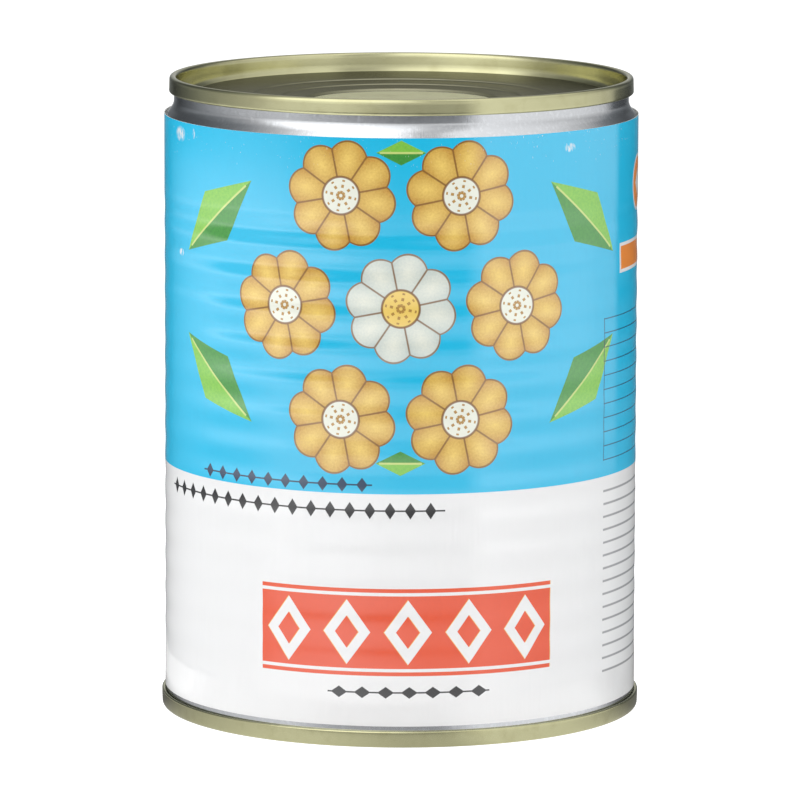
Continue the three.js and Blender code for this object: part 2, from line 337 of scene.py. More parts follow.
def body_hook_line(seam):
    """The body's flange as (radius, depth below the crest), from the hook's tip over to the wall."""
    layers = seam_layers(seam)
    crest = END_SHEET + COMPOUND_HEIGHT + 2 * COMPOUND_PLAY + BODY_SHEET / 2
    roll = (layers["body_hook"] - layers["body_wall"]) / 2
    corners = [
        (layers["body_hook"], crest + BODY_HOOK, 0),
        (layers["body_hook"], crest, roll * 0.95),
        (layers["body_wall"], crest, roll * 0.95),
        (layers["body_wall"], crest + BODY_HOOK, 0),
    ]
    return rounded(corners)


def body_line():
    """The body sheet's centre line from the bottom hook to the top hook: hook, beaded wall, neck, hook."""
    wall = seam_layers(BOTTOM_SEAM)["body_wall"]
    neck = seam_layers(TOP_SEAM)["body_wall"]
    first_crest = LOWEST_BEAD - BEAD_PITCH / 2
    beaded = np.arange(first_crest, LOWEST_BEAD + (BEADS - 0.5) * BEAD_PITCH, BEAD_PITCH / WAVE_STEPS)
    bottom, top = body_hook_line(BOTTOM_SEAM), body_hook_line(TOP_SEAM)[::-1]
    bottom[:, 1], top[:, 1] = bottom_height(bottom[:, 1]), top_height(top[:, 1])
    shoulder = [(wall, beaded[-1] + 1, 0), (wall, SHOULDER_CORNER, SHOULDER_CURVE)]
    shoulder = rounded([*shoulder, (neck, NECK_CORNER, NECK_CURVE), (neck, top[0, 1] - 0.2, 0)], steps=12)
    walls = np.stack([wall - BEAD_DEPTH * bead_wave(beaded), beaded], axis=1)
    return np.vstack([bottom, walls, shoulder, top])


def angles_denser_at(places, extra=14, reach=math.radians(3)):
    """Angles once round the can, with more of them near certain places."""
    even = np.linspace(0, 2 * math.pi, AROUND, endpoint=False)
    more = [place % (2 * math.pi) + np.linspace(-reach, reach, extra) for place in places]
    return np.unique(np.round(np.concatenate([even, *more]) % (2 * math.pi), 6))


def can_body():
    """The body sheet, carried round the axis, with the side weld's ridge."""
    outline = sheet_outline(body_line(), BODY_SHEET)

    def welded(height, angle):
        return weld_ridge(angle, outline[:, 0].max()) + 0 * height

    return revolved("can_body", outline, "can_body", angles_denser_at([WELD_ANGLE]), welded)


# ---- paper label ----

BODY_RADIUS = seam_layers(BOTTOM_SEAM)["body_wall"] + BODY_SHEET / 2
LABEL_RADIUS = BODY_RADIUS + LABEL_PLAY
LAP_RISE = PAPER + GLUE_FILM + 2 * GLUE_PLAY


def smooth(t):
    """0 before 0, 1 after 1, and 3t^2 - 2t^3 between them."""
    t = np.clip(t, 0, 1)
    return t * t * (3 - 2 * t)


def slack(angle, height):
    """How loosely the paper lies, from 0 to 1: slow waves round the can that drift with height."""
    wave = np.sin(3 * angle + 0.021 * height + 0.6) + 0.6 * np.sin(7 * angle - 0.034 * height + 2.1)
    return 0.5 + wave / 3.2


def label_radius(angle, height):
    """The radius of the label's inner face.

    The body's radius, less a little sag over each bead, plus the weld's ridge, and plus the climb of the
    outer end over the inner end at the lap.
    """
    sag = PAPER_SAG * bead_wave(height) * (0.45 + 0.55 * slack(angle, height))
    climb = LAP_RISE * smooth((angle - (math.pi - LAP_ANGLE / 2 - LAP_CLIMB)) / LAP_CLIMB)
    lift = 0.05 * slack(angle * 2 + 1, height) * (1 - bead_wave(height))
    return LABEL_RADIUS - sag + climb + lift + weld_ridge(angle, BODY_RADIUS)


def wrapped_sheet(name, angles, heights, inner, thickness, node):
    """A sheet wrapped round the can, with a map of (arc length, height) in decimetres.

    Its section at each angle is a loop: up the outer face and down the inner face, thickness apart.
    inner(angle, height) is the inner face's radius.
    """
    angle, height = np.meshgrid(angles, heights, indexing="ij")
    under = inner(angle, height)
    loop_angle = np.hstack([angle, angle[:, ::-1]])
    loop_height = np.hstack([height, height[:, ::-1]])
    radius = np.hstack([under + thickness, under[:, ::-1]])
    points = np.stack([radius * np.sin(loop_angle), -radius * np.cos(loop_angle), loop_height], axis=-1)
    rows, tall = len(angles), len(heights)
    columns = 2 * tall
    sides = grid_faces(rows, columns, wrap_columns=True)[:, ::-1]
    step = np.arange(tall - 1)
    cap = np.stack([step, step + 1, columns - 2 - step, columns - 1 - step], axis=1)
    faces = np.vstack([sides, cap, cap[:, ::-1] + (rows - 1) * columns])
    piece = new_piece(name, points.reshape(-1, 3), faces, node)
    places = np.stack([loop_angle * LABEL_RADIUS, loop_height], axis=-1).reshape(-1, 2) / 100
    vertices = np.empty(len(piece.data.loops), int)
    piece.data.loops.foreach_get("vertex_index", vertices)
    sheet_map = piece.data.uv_layers.new(name="sheet")
    sheet_map.data.foreach_set("uv", places[vertices].ravel())
    outer_face = np.zeros(len(faces), int)
    outer_face[: len(sides)] = np.arange(len(sides)) % columns < tall - 1
    piece.data.polygons.foreach_set("material_index", 1 - outer_face)
    return piece


def paper_label():
    """The label, from the inner end of its lap to its outer end, denser at the climb and over the weld."""
    end = math.pi + LAP_ANGLE / 2
    even = np.linspace(-end, end, AROUND)
    climb = np.linspace(end - LAP_ANGLE - LAP_CLIMB, end - LAP_ANGLE, 10)
    weld = WELD_ANGLE + np.linspace(-1, 1, 12) * math.radians(2)
    angles = np.unique(np.round(np.concatenate([even, climb, weld, weld - 2 * math.pi]), 6))
    heights = np.linspace(LABEL_BOTTOM, LABEL_TOP, 150)
    angles = angles[(angles >= -end - 1e-6) & (angles <= end + 1e-6)]
    return wrapped_sheet("paper_label", angles, heights, label_radius, PAPER, "paper_label")


def label_glue():
    """The paste in the lap: a thin sheet on the label's inner end."""
    margin = GLUE_MARGIN / LABEL_RADIUS
    half = LAP_ANGLE / 2 - margin

    def on_inner_end(angle, height):
        return label_radius(angle - 2 * math.pi, height) + PAPER + GLUE_PLAY

    angles = math.pi + np.linspace(-half, half, 12)
    heights = np.linspace(LABEL_BOTTOM + GLUE_MARGIN, LABEL_TOP - GLUE_MARGIN, 100)
    return wrapped_sheet("label_glue", angles, heights, on_inner_end, GLUE_FILM, "label_glue")


# ---- contents ----


def fruit_places():
    """Each fruit's (distance from the axis, angle, height, lean): rings round a column, as in the CAD."""
    step = 2 * math.pi / RING_FRUITS
    places = []
    for ring in range(RINGS):
        for k in range(RING_FRUITS):
            lean = LEAST_LEAN + (MOST_LEAN - LEAST_LEAN) * (len(places) * GOLDEN_RATIO % 1)
            places.append((RING_RADIUS, (k + ring / 2) * step, LOWEST_FRUIT + ring * RING_RISE, lean))
    for k in range(COLUMN_FRUITS):
        places.append((0, (k + 0.5) * step, LOWEST_FRUIT + k * COLUMN_RISE, math.pi / 2))
    return places


def fruit(name, place, turn):
    """A peeled fruit: a ball with a round pit hollow that opens at a ragged mouth.

    The profile goes from the ball's foot up the outside to the lip and down the hollow. Low waves round
    the fruit, different for each one, pull the outside in by up to 4 percent.
    """
    outside = np.linspace(-math.pi / 2, math.acos(MOUTH_RADIUS / FRUIT_RADIUS), 16)
    inside = np.linspace(math.acos(MOUTH_RADIUS / PIT_RADIUS), -math.pi / 2, 10)
    outer = np.stack([FRUIT_RADIUS * np.cos(outside), FRUIT_RADIUS * np.sin(outside)], axis=1)
    inner = np.stack([PIT_RADIUS * np.cos(inside), PIT_RADIUS * np.sin(inside)], axis=1)
    lip = (outer[-1:] + inner[:1]) / 2 + [[-0.25, 0]]
    outline = np.vstack([outer, lip, inner])
    outline[[0, -1], 0] = 0

    def dented(height, angle):
        wave = np.sin(2 * angle + turn) + np.sin(5 * angle - 2 * turn + height / 3)
        return -0.02 * FRUIT_RADIUS * (1 + wave / 2) * np.clip(1.2 - np.abs(height) / FRUIT_RADIUS, 0, 1)

    angles = np.linspace(0, 2 * math.pi, 28, endpoint=False)
    piece = revolved(name, outline, name, angles, dented)
    distance, angle, height, lean = place
    settle = Matrix.Rotation(angle, 4, "Z") @ Matrix.Translation((distance * MM, 0, height * MM))
    piece.data.transform(settle @ Matrix.Rotation(-lean, 4, "Y"))
    return piece


# ---- shader arithmetic ----


def linear(red, green, blue):
    """A colour of 0 to 255 as the shader's linear RGBA."""
    parts = [c / 255 for c in (red, green, blue)]
    return (*(c / 12.92 if c <= 0.04045 else ((c + 0.055) / 1.055) ** 2.4 for c in parts), 1)


def feed(value, socket):
    """Puts a Field, a socket or a plain value into a node's input."""
    if isinstance(value, Field):
        value = value.socket
    if isinstance(value, bpy.types.NodeSocket):
        socket.id_data.links.new(value, socket)
    else:
        socket.default_value = value


class Field:
    """A number that varies over a surface: a shader socket that takes arithmetic."""

    def __init__(self, socket):
        self.socket = socket

    def made(self, operation, *others, clamp=False):
        node = self.socket.id_data.nodes.new("ShaderNodeMath")
        node.operation = operation
        node.use_clamp = clamp
        for socket, value in zip(node.inputs, (self, *others)):
            feed(value, socket)
        return Field(node.outputs[0])

    def __add__(self, other):
        return self.made("ADD", other)

    def __sub__(self, other):
        return self.made("SUBTRACT", other)

    def __mul__(self, other):
        return self.made("MULTIPLY", other)

    def __truediv__(self, other):
        return self.made("DIVIDE", other)

    def __abs__(self):
        return self.made("ABSOLUTE")

    def least(self, other):
        return self.made("MINIMUM", other)

    def most(self, other):
        return self.made("MAXIMUM", other)

    def folded(self, pitch):
        """The distance from the middle of its own cell, in cells of one pitch centred on 0."""
        return (self + pitch / 2).made("FLOORED_MODULO", pitch) - pitch / 2

    def below(self, edge, softness=0.08):
        """1 where the field is below edge, 0 above it, with a soft edge."""
        return (self * (-1 / softness) + (edge / softness + 0.5)).made("ADD", 0, clamp=True)

    def above(self, edge, softness=0.08):
        return (self * (1 / softness) + (0.5 - edge / softness)).made("ADD", 0, clamp=True)

    def within(self, low, high, softness=0.08):
        return self.above(low, softness) * self.below(high, softness)


def node_of(tree, kind, **settings):
    """A new node whose properties are set by name."""
    node = tree.nodes.new(kind)
    for name, value in settings.items():
        setattr(node, name, value)
    return node


def vector_of(x, y, z=0):
    """The vector socket of three fields or numbers, of which x or y is a field."""
    node = node_of((x if isinstance(x, Field) else y).socket.id_data, "ShaderNodeCombineXYZ")
    for socket, value in zip(node.inputs, (x, y, z)):
        feed(value, socket)
    return node.outputs[0]


def noise(vector, scale, detail=2.0, roughness=0.5):
    """A field of smooth noise from about 0.2 to 0.8, with scale waves for each unit of the vector."""
    node = node_of(vector.id_data, "ShaderNodeTexNoise")
    feed(vector, node.inputs["Vector"])
    for name, value in (("Scale", scale), ("Detail", detail), ("Roughness", roughness)):
        node.inputs[name].default_value = value
    return Field(node.outputs["Fac"])


def mixed(amount, below, above):
    """The colour below where amount is 0, and the colour above where it is 1."""
    node = node_of(amount.socket.id_data, "ShaderNodeMix", data_type="RGBA")
    for index, value in ((0, amount), (6, below), (7, above)):
        feed(value, node.inputs[index])
    return node.outputs[2]


def length_of(x, y):
    """The field sqrt(x^2 + y^2)."""
    return (x * x + y * y).made("SQRT")


def material(name, **plain):
    """A material with its Principled shader, whose plain inputs are set on the shader's own sockets."""
    made = bpy.data.materials.new(name)
    made.use_nodes = True
    shader = made.node_tree.nodes["Principled BSDF"]
    for socket, value in plain.items():
        shader.inputs[socket.replace("_", " ")].default_value = value
    return made, made.node_tree, shader


def object_place(tree):
    """The (x, y, z) fields of a point on the object, in millimetres."""
    place = node_of(tree, "ShaderNodeTexCoord").outputs["Object"]
    split = node_of(tree, "ShaderNodeSeparateXYZ")
    feed(place, split.inputs[0])
    return [Field(output) * (1 / MM) for output in split.outputs]


def bump(tree, shader, height, distance, strength=1.0):
    """Roughens the shader's surface with a height field, of which 1 stands for distance in metres."""
    node = node_of(tree, "ShaderNodeBump")
    node.inputs["Strength"].default_value = strength
    node.inputs["Distance"].default_value = distance
    feed(height, node.inputs["Height"])
    feed(node.outputs[0], shader.inputs["Normal"])


# ---- metals ----


def gold_lacquer(name, light, dark, edge_tint, roughness, dents=0.0):
    """Transparent gold lacquer on tinplate: a straight rolling grain, and faint mottle from dark to light.

    edge_tint is its colour at a grazing angle. Stamped metal has dents as well, of a depth in metres.
    """
    made, tree, shader = material(name, Metallic=1.0, Specular_Tint=(*edge_tint, 1))
    x, y, z = object_place(tree)
    grain = noise(vector_of(x * 0.08, y * 1.4, z * 1.4), 1.0, 2.0, 0.5)
    mottle = noise(vector_of(x, y, z), 0.25, 3.0, 0.55)
    feed(mixed(mottle.within(0.35, 0.8, 0.3), dark, light), shader.inputs["Base Color"])
    feed(grain * 0.04 + mottle * 0.04 + roughness, shader.inputs["Roughness"])
    if dents:
        bump(tree, shader, noise(vector_of(x, y), 0.9, 2.0), dents)
    return made


def tinplate():
    """Bare tinplate: fine streaks along the body, and a dull blue-grey band along the side weld."""
    made, tree, shader = material("tinplate", Metallic=1.0)
    x, y, z = object_place(tree)
    turn = y.made("ARCTAN2", x)
    streaks = noise(vector_of(turn * 190, z * 0.35), 1.0, 3.0, 0.65)
    spots = noise(vector_of(x, y, z), 0.9, 3.0)
    weld_place = WELD_ANGLE - math.pi / 2
    weld = abs(turn - weld_place).below(WELD_BAND / BODY_RADIUS, 0.02)
    steel = mixed(spots.within(0.3, 0.7, 0.3), linear(222, 225, 228), linear(206, 208, 211))
    feed(mixed(weld, steel, linear(120, 124, 134)), shader.inputs["Base Color"])
    feed(streaks * 0.12 + weld * 0.2 + 0.08, shader.inputs["Roughness"])
    bump(tree, shader, streaks, 0.000012)
    return made


# ---- the label's inks ----

BLUE = linear(26, 192, 235)
WHITE = linear(241, 241, 241)
RED = linear(233, 76, 20)
RED_FRINGE = linear(246, 190, 96)
DARK = linear(18, 17, 20)
NAVY = linear(4, 50, 84)
GREY = linear(110, 112, 116)
TAN = linear(222, 176, 92)
TAN_DEEP = linear(188, 132, 44)
TAN_LIGHT = linear(246, 212, 112)
BROWN = linear(128, 84, 34)
CREAM = linear(240, 242, 228)
CREAM_SHADE = linear(196, 208, 204)
GREEN = linear(86, 176, 66)
GREEN_LIGHT = linear(164, 220, 78)
GREEN_DARK = linear(36, 116, 52)
GREEN_PALE = linear(206, 222, 130)
ORANGE = linear(244, 146, 62)

# ---- the label's design: distances round the front and heights, in millimetres ----

PATTERN_HEIGHT = 78.7  # the middle row of rosettes
ROSETTE_PITCH = 21.4
ROSETTE_ROW = 19.9
ROSETTE_RADIUS = 9.8
PETALS = 8
PETAL_ANGLE = 2 * math.pi / PETALS
FRONT_BLUE_EDGE = 45.6
FRIEZE = {"left": -26, "right": 28.8, "low": 12.9, "high": 28.6, "lozenges": 5, "rule": 6.85}
BACK_FRIEZE = {"left": 92, "right": 121, "pitch": 9.6}
FRINGE_SHIFT = 0.14  # how far the frieze's yellow printing sits from its red
RULED_TABLE = {"left": 43.5, "right": 80.0, "low": 48.6, "high": 74.2, "rows": 10, "posts": (66, 73)}
BADGE = {"across": 62, "height": 97}
CHAINS = (  # left, right, height, a bead's half width and half height, pitch, ink
    (-13.0, 16.3, 9.9, 1.5, 1.05, 4.2, DARK),
    (-41.0, -5.0, 47.2, 1.0, 1.3, 3.6, NAVY),
    (-54.0, 8.0, 42.6, 1.0, 1.5, 3.6, DARK),
)


def rhombus(x, z, half_width, half_height):
    """The signed distance from a rhombus's edge, negative inside: |x|/a + |z|/b - 1, scaled to length."""
    scale = half_width * half_height / math.hypot(half_width, half_height)
    return (abs(x) * (1 / half_width) + abs(z) * (1 / half_height) - 1) * scale


def rectangle(x, z, left, right, low, high):
    """The signed distance from a rectangle's edge, negative inside."""
    across = abs(x - (left + right) / 2) - (right - left) / 2
    return across.most(abs(z - (low + high) / 2) - (high - low) / 2)


def rosettes(x, z, ground):
    """Inks a field of eight-petalled rosettes over ground, in three staggered rows.

    Each rosette is worked out in its own cell. Its scalloped edge is radius * (1 - 0.6 q^2), where q runs
    from -1/2 to 1/2 across a petal.
    """
    row = (z - (PATTERN_HEIGHT - ROSETTE_ROW / 2)) / ROSETTE_ROW
    outer_row = row.made("FLOOR").made("ABSOLUTE").below(0.5, 0.1) * -1 + 1
    cell_z = (z - PATTERN_HEIGHT).folded(ROSETTE_ROW)
    cell_x = (x + outer_row * (ROSETTE_PITCH / 2)).folded(ROSETTE_PITCH)
    rho = length_of(cell_x, cell_z)
    petal = (cell_z.made("ARCTAN2", cell_x) * (1 / PETAL_ANGLE) + 0.25).folded(1)
    edge = (petal * petal * -0.6 + 1) * ROSETTE_RADIUS
    across = petal * rho * PETAL_ANGLE
    from_middle = length_of((rho - ROSETTE_RADIUS * 0.66) * 0.8, across * 1.25)
    speckle = noise(vector_of(x, z), 2.4, 4.0, 0.7)
    shade = (from_middle * 0.21 + speckle * 0.9 - 0.42).most(0).least(1)
    centre_cell = length_of(x, z - PATTERN_HEIGHT).below(ROSETTE_RADIUS + 0.6)
    light = mixed(centre_cell, TAN_LIGHT, CREAM)
    deep = mixed(centre_cell, TAN_DEEP, CREAM_SHADE)
    flesh = mixed(shade, light, deep)
    veins = abs(abs(petal) - 0.5) * rho * PETAL_ANGLE
    line = veins.below(0.16, 0.12).most(abs(rho - edge).below(0.2, 0.12))
    flesh = mixed(line * 0.85, flesh, BROWN)
    heart = rho - ROSETTE_RADIUS * 0.34
    flesh = mixed(heart.below(0), flesh, mixed(centre_cell, CREAM, TAN_LIGHT))
    flesh = mixed(abs(heart).below(0.2, 0.12) * 0.9, flesh, BROWN)
    seeds = (rho - ROSETTE_RADIUS * 0.2).folded(1.1).most(abs(petal) * rho * 0.8 - 0.25)
    flesh = mixed(seeds.below(0) * heart.below(-0.5), flesh, mixed(speckle, BROWN, TAN))
    in_edge = (rho - edge).below(0.15)
    rows = abs(z - PATTERN_HEIGHT).below(1.5 * ROSETTE_ROW)
    front = abs(x).below(1.5 * ROSETTE_PITCH) * (outer_row * -1 + 1)
    front = front.most(abs(x).below(ROSETTE_PITCH) * outer_row)
    return mixed(in_edge * rows * front, ground, flesh)


def lozenge(x, z, half_width, half_height, turn, ground):
    """Inks a green lozenge, lighter above its long axis than below it, with a pale rib along it."""
    along = x * math.cos(turn) + z * math.sin(turn)
    across = z * math.cos(turn) - x * math.sin(turn)
    edge = rhombus(along, across, half_width, half_height)
    mottle = noise(vector_of(x, z), 1.6, 4.0, 0.7)
    upper = mixed(mottle, GREEN, GREEN_LIGHT)
    lower = mixed(mottle, GREEN_DARK, GREEN)
    ink = mixed(across.above(0), lower, upper)
    rib = abs(across).below(0.18, 0.12) * along.within(-half_width * 0.86, half_width * 0.86)
    ink = mixed(rib, ink, GREEN_PALE)
    return mixed(edge.below(0), ground, ink)


def front_lozenges(x, z, ground):
    """Four lozenges, one towards each corner, and a small one above and below the rosettes."""
    side, up = abs(x), abs(z - PATTERN_HEIGHT)
    ground = lozenge(side - 37.5, up - 14.5, 11.5, 5.2, math.radians(-38), ground)
    return lozenge(side, up - 27.6, 4.4, 2.2, 0, ground)


def red_frieze(x, z, ground, ink, shift=0):
    """A band between two rules, with five open lozenges, each with a smaller lozenge inside."""
    left, right = FRIEZE["left"] + shift, FRIEZE["right"] + shift
    low, high = FRIEZE["low"], FRIEZE["high"]
    cell = (x - (left + right) / 2).folded((right - left) / FRIEZE["lozenges"])
    level = z - (low + high) / 2
    open_lozenge = rhombus(cell, level, 4.3, 5.9).above(0)
    heart = rhombus(cell, level, 2.1, 2.9).below(0)
    rules = abs(abs(level) - FRIEZE["rule"]).above(0.3)
    band = rectangle(x, z, left, right, low, high).below(0)
    return mixed(band * rules * open_lozenge.most(heart), ground, ink)


def chain(x, z, left, right, height, half_width, half_height, pitch, ground, ink):
    """A thin rule with small lozenges strung along it."""
    level = z - height
    beads = rhombus((x - left - pitch / 2).folded(pitch), level, half_width, half_height)
    rule = abs(level) - 0.14
    return mixed(beads.least(rule).below(0) * x.within(left, right), ground, ink)


def ruled_table(x, z, ground):
    """An empty table of thin rules: ten rows, and columns at its right."""
    left, right, low, high = (RULED_TABLE[side] for side in ("left", "right", "low", "high"))
    level = abs((z - low).folded((high - low) / RULED_TABLE["rows"])).below(0.1, 0.1)
    post = abs(abs(x - (left + right) / 2) - (right - left) / 2).below(0.12, 0.1)
    for place in RULED_TABLE["posts"]:
        post = post.most(abs(x - place).below(0.1, 0.1))
    inside = rectangle(x, z, left - 0.15, right + 0.15, low - 0.15, high + 0.15).below(0)
    return mixed(level.most(post) * inside * 0.85, ground, NAVY)


def ruled_lines(x, z, left, width, low, high, pitch, ground, ink):
    """Blank ruled lines, whose lengths vary from row to row."""
    row = ((z - low) / pitch).made("ROUND")
    line = abs(z - low - row * pitch).below(0.2, 0.12)
    reach = (row * 2.4).made("SINE") * (width * 0.12) + (left + width * 0.86)
    part = x.above(left) * (x - reach).below(0)
    return mixed(line * part * z.within(low - 0.3, high + 0.3) * 0.7, ground, ink)


def orange_badge(x, z, ground):
    """An orange roundel in a white ring over a plain orange bar."""
    x_off, z_off = x - BADGE["across"], z - BADGE["height"]
    disc = length_of(x_off, z_off)
    ground = mixed(disc.below(5.2), ground, WHITE)
    ground = mixed(disc.below(4.6), ground, ORANGE)
    ground = mixed(rhombus(x_off, z_off, 2.6, 2.6).below(0), ground, WHITE)
    bar = rectangle(x, z, 50, 74, 82.4, 86.6)
    ground = mixed(bar.below(0.6), ground, WHITE)
    return mixed(bar.below(0), ground, ORANGE)


def back_panel(x, z, ground):
    """A white field with blank rules and a red and green border, for the half that faces away."""
    field = rectangle(x, z, -122, -84, 52, 100)
    ground = mixed(field.below(1.6), ground, GREEN)
    ground = mixed(field.below(1.0), ground, WHITE)
    ground = mixed(abs(field + 1.4).below(0.25), ground, RED)
    ground = ruled_lines(x, z, -118, 30, 56, 94, 4.2, ground, GREY)
    ground = lozenge(x - 106, z - PATTERN_HEIGHT, 20, 11, math.radians(90), ground)
    left, right, low, high = BACK_FRIEZE["left"], BACK_FRIEZE["right"], FRIEZE["low"], FRIEZE["high"]
    cell = (x - (left + right) / 2).folded(BACK_FRIEZE["pitch"])
    open_lozenge = rhombus(cell, z - (low + high) / 2, 3.8, 5.9).above(0)
    return mixed(rectangle(x, z, left, right, low, high).below(0) * open_lozenge, ground, RED)


# Rubbed patches: place round the front, height, half width and half height.
SCUFFS = (
    (-50.0, 106.7, 1.9, 1.2),
    (-44.5, 107.2, 0.4, 0.8),
    (-49.6, 85.4, 1.0, 0.6),
    (33.0, 106.0, 1.2, 0.7),
)


def scuffed(x, z, ground):
    """Rubs a few small patches of ink through to the white paper, in upright ticks."""
    ticks = noise(vector_of(x * 3.2, z * 0.5), 1.0, 2.0, 0.6).above(0.5, 0.1)
    for across, height, half_width, half_height in SCUFFS:
        patch = length_of((x - across) / half_width, (z - height) / half_height).below(1, 0.5)
        ground = mixed(patch * ticks * 0.9, ground, WHITE)
    return ground


VARNISH = {"Coat_Weight": 1.0, "Coat_Roughness": 0.08, "Coat_IOR": 1.95}


def printed_paper():
    """Glossy printed paper: a blue field over white, rosettes, lozenges, a red frieze and blank rules."""
    made, tree, shader = material("printed_paper", Specular_IOR_Level=0.0, **VARNISH)
    sheet = node_of(tree, "ShaderNodeUVMap", uv_map="sheet").outputs[0]
    split = node_of(tree, "ShaderNodeSeparateXYZ")
    feed(sheet, split.inputs[0])
    x, z = Field(split.outputs[0]) * 100, Field(split.outputs[1]) * 100
    ink = mixed(z.above(FRONT_BLUE_EDGE), WHITE, BLUE)
    ink = front_lozenges(x, z, ink)
    ink = rosettes(x, z, ink)
    ink = red_frieze(x, z, ink, RED_FRINGE, FRINGE_SHIFT)
    ink = red_frieze(x, z, ink, RED)
    for *place, colour in CHAINS:
        ink = chain(x, z, *place, ink, colour)
    ink = ruled_table(x, z, ink)
    ink = ruled_lines(x, z, 43.5, 36, 10, 43, 2.35, ink, GREY)
    ink = orange_badge(x, z, ink)
    ink = back_panel(x, z, ink)
    rub = noise(vector_of(x * 3.5, z * 1.1), 1.0, 3.0, 0.6)
    near_edge = z.above(LABEL_TOP - 5, 4).most(z.below(LABEL_BOTTOM + 1, 2))
    ink = scuffed(x, z, mixed(rub.above(0.7, 0.02) * near_edge, ink, WHITE))
    feed(ink, shader.inputs["Base Color"])
    fibre = noise(vector_of(x, z), 2.2, 5.0, 0.7)
    crease = noise(vector_of(x * 0.5, z * 0.05), 1.0, 2.0, 0.5)
    feed(fibre * 0.1 + 0.55, shader.inputs["Roughness"])
    bump(tree, shader, fibre * 0.25 + crease * 6, 0.00002)
    return made


# ---- bare paper, lining, paste and contents ----


def paper_core():
    """The bare paper on the label's cut edges and inner side: white with loose fibres."""
    made, tree, shader = material("paper_core")
    x, y, z = object_place(tree)
    fibre = noise(vector_of(x, y, z), 3.0, 5.0, 0.75)
    feed(mixed(fibre, linear(236, 235, 230), linear(250, 250, 247)), shader.inputs["Base Color"])
    feed(fibre * 0.2 + 0.7, shader.inputs["Roughness"])
    bump(tree, shader, fibre, 0.00001)
    return made


def sealing_compound():
    """Grey rubber lining compound, matt and slightly grainy."""
    made, tree, shader = material("sealing_compound")
    x, y, z = object_place(tree)
    grain = noise(vector_of(x, y, z), 4.0, 3.0)
    feed(mixed(grain, linear(134, 138, 130), linear(160, 162, 152)), shader.inputs["Base Color"])
    feed(grain * 0.2 + 0.65, shader.inputs["Roughness"])
    return made


def dried_paste():
    """Amber label paste with small bubbles."""
    made, tree, shader = material("dried_paste", Transmission_Weight=0.3)
    x, y, z = object_place(tree)
    bubbles = noise(vector_of(x, y, z), 1.6, 4.0, 0.7)
    feed(mixed(bubbles, linear(206, 160, 84), linear(232, 206, 150)), shader.inputs["Base Color"])
    feed(bubbles * 0.3 + 0.3, shader.inputs["Roughness"])
    return made


def fruit_flesh():
    """Wet, translucent white flesh with faint veins from the pit hollow outwards."""
    made, tree, shader = material("fruit_flesh", Subsurface_Weight=0.5, Subsurface_Scale=0.004)
    x, y, z = object_place(tree)
    veins = noise(vector_of(x, y, z * 0.3), 0.8, 4.0, 0.65)
    feed(mixed(veins, linear(226, 222, 204), linear(244, 242, 234)), shader.inputs["Base Color"])
    feed(veins * 0.15 + 0.2, shader.inputs["Roughness"])
    bump(tree, shader, veins, 0.0002)
    return made


def clear_syrup():
    """Pale golden syrup, clear with slight streaks."""
    made, tree, shader = material("clear_syrup", Transmission_Weight=0.95, IOR=1.38)
    x, y, z = object_place(tree)
    streaks = noise(vector_of(x, y, z * 0.2), 0.1, 2.0)
    feed(mixed(streaks, linear(244, 226, 170), linear(250, 240, 204)), shader.inputs["Base Color"])
    feed(streaks * 0.04 + 0.02, shader.inputs["Roughness"])
    return made


def dress():
    """Makes every piece and gives it its finish."""
    light, dark = linear(196, 194, 154), linear(184, 181, 140)
    walls = gold_lacquer("gold_lacquer", light, dark, (1, 1, 1), 0.12)
    # The panel's copy of the lacquer is painted lighter, and its dark grazing edge tint is painted shade for
    # the dim surroundings its flat recess mirrors; the real lacquer matches the walls.
    light, dark = linear(212, 210, 180), linear(200, 197, 164)
    panel = gold_lacquer("gold_panel_painted_light_and_shade", light, dark, (0.25, 0.25, 0.24), 0.16)
    # The centre's copy is painted lighter still, with a bright grazing edge tint: a painted highlight for the
    # light its stamped face catches from above, not a lighter lacquer.
    light, dark = linear(230, 229, 194), linear(218, 216, 180)
    centre = gold_lacquer("gold_centre_painted_highlight", light, dark, (0.9, 0.9, 0.8), 0.42, 0.0002)
    gold = (walls, panel, centre)
    steel, lining = tinplate(), sealing_compound()
    paste, flesh = dried_paste(), fruit_flesh()
    can_end("top_end", TOP_SEAM, top_height, gold)
    can_end("bottom_end", BOTTOM_SEAM, bottom_height, gold)
    can_body().data.materials.append(steel)
    seam_compound("top_seam_compound", TOP_SEAM, top_height).data.materials.append(lining)
    seam_compound("bottom_seam_compound", BOTTOM_SEAM, bottom_height).data.materials.append(lining)
    label = paper_label()
    label.data.materials.append(printed_paper())
    label.data.materials.append(paper_core())
    glue = label_glue()
    glue.data.materials.append(paste)
    glue.data.materials.append(paste)
    for k, place in enumerate(fruit_places()):
        fruit(f"longan_{k + 1:02d}", place, turn=k * 1.7).data.materials.append(flesh)
    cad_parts["syrup"].data.materials.clear()
    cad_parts["syrup"].data.materials.append(clear_syrup())


# ---- studio ----

CAMERA_PLACE = Vector((-0.0001, -1.2046, 0.2401))
CAMERA_PITCH = math.radians(8.693)
CAMERA_ROLL = math.radians(0.17)
CAMERA_LENS = 299.9


def camera():
    """A long lens in front of the can, a little above it, that looks down by CAMERA_PITCH."""
    data = bpy.data.cameras.new("camera")
    data.lens = CAMERA_LENS
    data.clip_end = 100
    made = bpy.data.objects.new("camera", data)
    bpy.context.scene.collection.objects.link(made)
    tilt = Matrix.Rotation(math.pi / 2 - CAMERA_PITCH, 4, "X") @ Matrix.Rotation(CAMERA_ROLL, 4, "Z")
    made.matrix_world = Matrix.Translation(CAMERA_PLACE) @ tilt
    bpy.context.scene.camera = made


